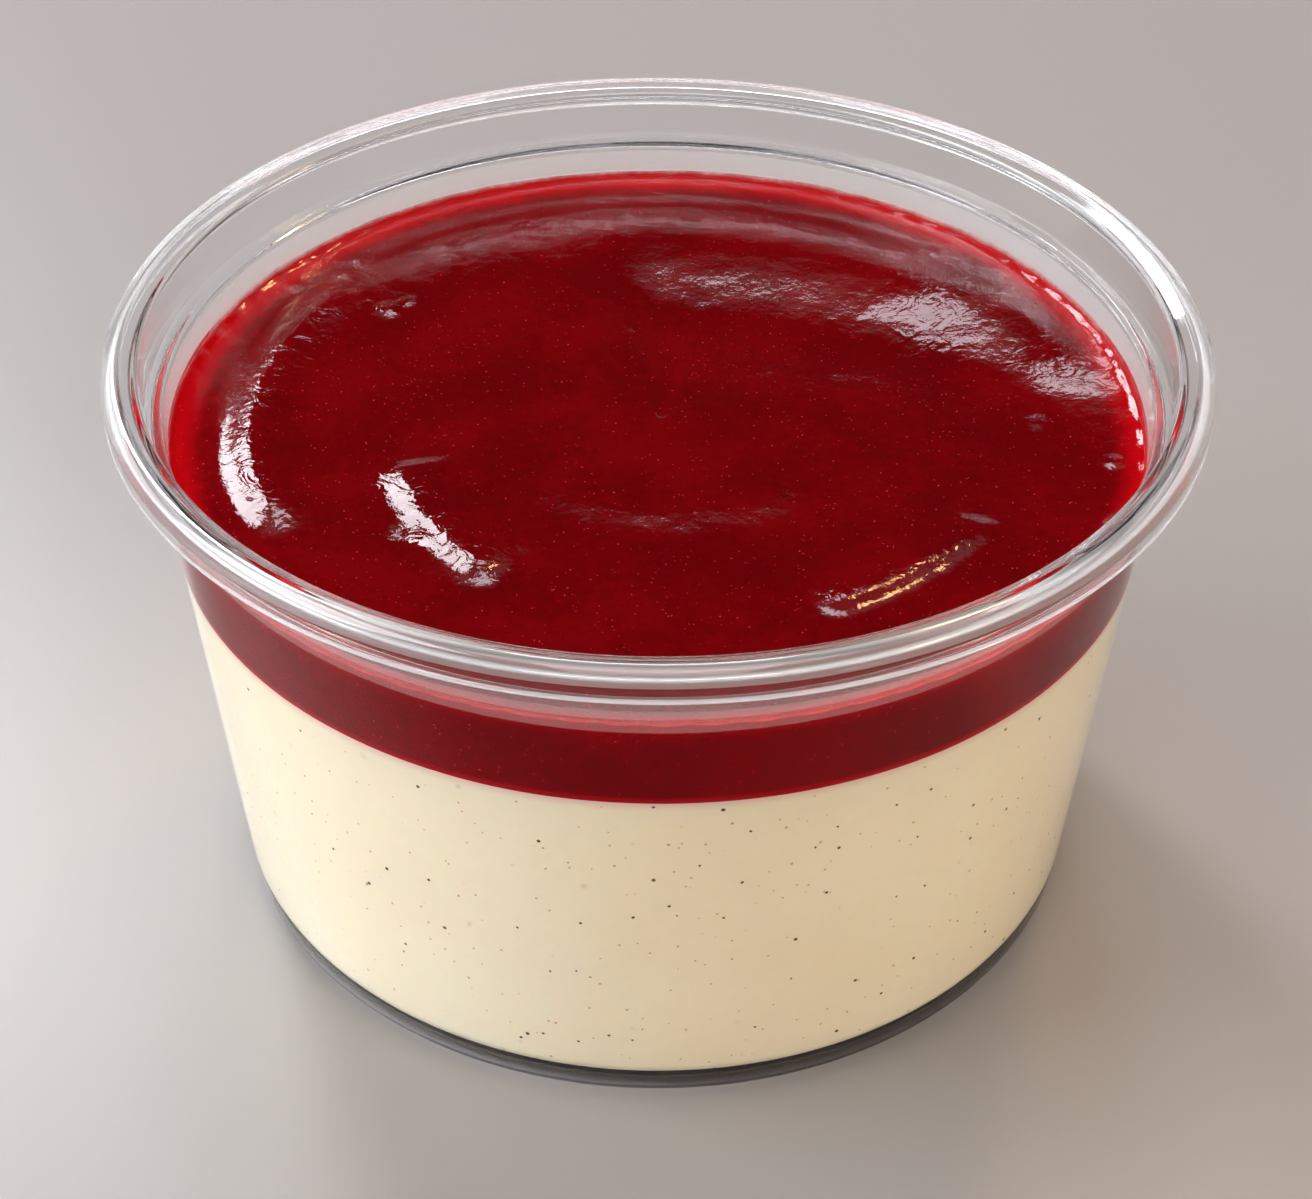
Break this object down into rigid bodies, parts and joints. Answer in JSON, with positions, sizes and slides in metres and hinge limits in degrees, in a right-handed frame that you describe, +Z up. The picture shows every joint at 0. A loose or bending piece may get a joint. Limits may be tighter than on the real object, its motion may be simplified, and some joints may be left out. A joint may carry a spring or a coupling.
{
  "type": "panna cotta",
  "caption": "Vanilla panna cotta under a layer of red berry coulis, in a clear, round, tapered dessert cup with a lid ledge and a rolled rim",
  "frame": {"origin": "Middle of the foot ring, on the surface the cup stands on", "axes": "+Z up along the cup's axis of turning. X and Y are free for the cup; the swirl in the coulis is the only thing that isn't round"},
  "size_m": [0.095, 0.095, 0.0533],
  "materials": {
    "clear_plastic": "clear, glossy moulded plastic",
    "vanilla_cream": "smooth set cream with vanilla seeds",
    "red_berry_coulis": "wet, glossy, dark red fruit sauce"
  },
  "bodies": {
    "root": {"cup": "clear_plastic", "panna_cotta": "vanilla_cream", "coulis": "red_berry_coulis"}
  },
  "joints": []
}
